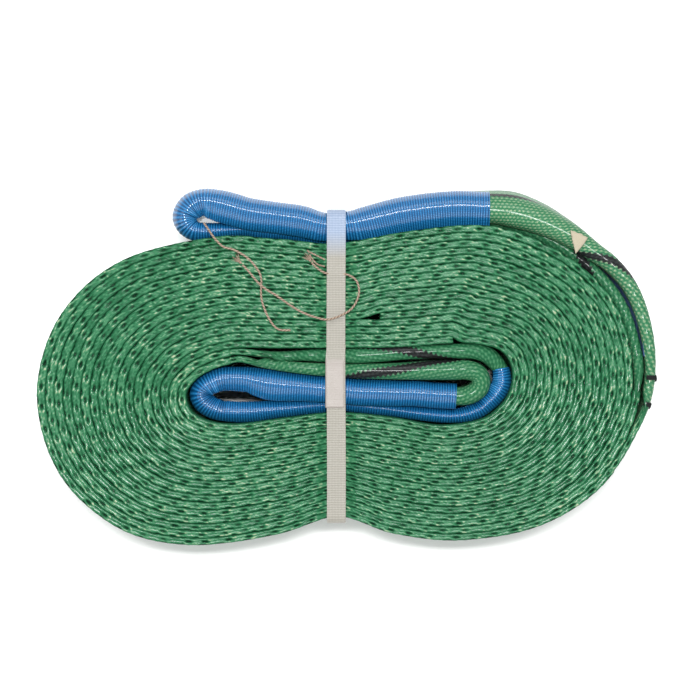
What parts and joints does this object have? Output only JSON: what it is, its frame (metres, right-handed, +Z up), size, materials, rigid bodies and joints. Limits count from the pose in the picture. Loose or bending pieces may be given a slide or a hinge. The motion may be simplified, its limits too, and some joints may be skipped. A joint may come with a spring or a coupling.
{
  "type": "duplex webbing lifting sling",
  "caption": "Flat polyester webbing sling with folded, sleeved soft eyes, rolled edge-up into an oval coil and held by a packing strap and twine.",
  "frame": {"origin": "centre of the coil's bounding box in X and Y, on the resting plane of the webbing's lower edges", "axes": "+X along the oval coil's long side, +Y across it towards the outer eye, +Z up along the webbing's width"},
  "size_m": [0.2866, 0.1654, 0.0626],
  "materials": {
    "webbing": "matt woven polyester, green with two black stripes on its outer faces",
    "sleeve": "ribbed woven sleeve with a slight sheen, blue",
    "green_thread": "matt sewing thread, green",
    "black_thread": "matt sewing thread, black",
    "label": "smooth woven label, dark blue, plain",
    "tab": "smooth woven tab, cream, plain",
    "strap": "translucent white polypropylene with an embossed diamond pattern",
    "twine": "twisted natural twine, brown"
  },
  "bodies": {
    "root": {"webbing_start_ply": "webbing", "webbing_outer_eye": "webbing", "webbing_back_ply": "webbing", "webbing_inner_eye": "webbing", "webbing_end_ply": "webbing", "inner_eye_sleeve": "sleeve", "outer_eye_sleeve": "sleeve", "inner_eye_seam": "green_thread", "splice_seam_start": "green_thread", "splice_seam_end": "green_thread", "outer_eye_seam_near": "black_thread", "outer_eye_seam_far": "black_thread", "body_seam_upper": "green_thread", "body_seam_middle": "green_thread", "body_seam_lower": "green_thread", "id_label": "label", "label_tab": "tab", "packing_strap": "strap", "twine_free_strand": "twine", "twine_strap_strand": "twine", "twine_tucked_strand": "twine", "twine_tuft_outer": "twine", "twine_tuft_inner": "twine"}
  },
  "joints": []
}
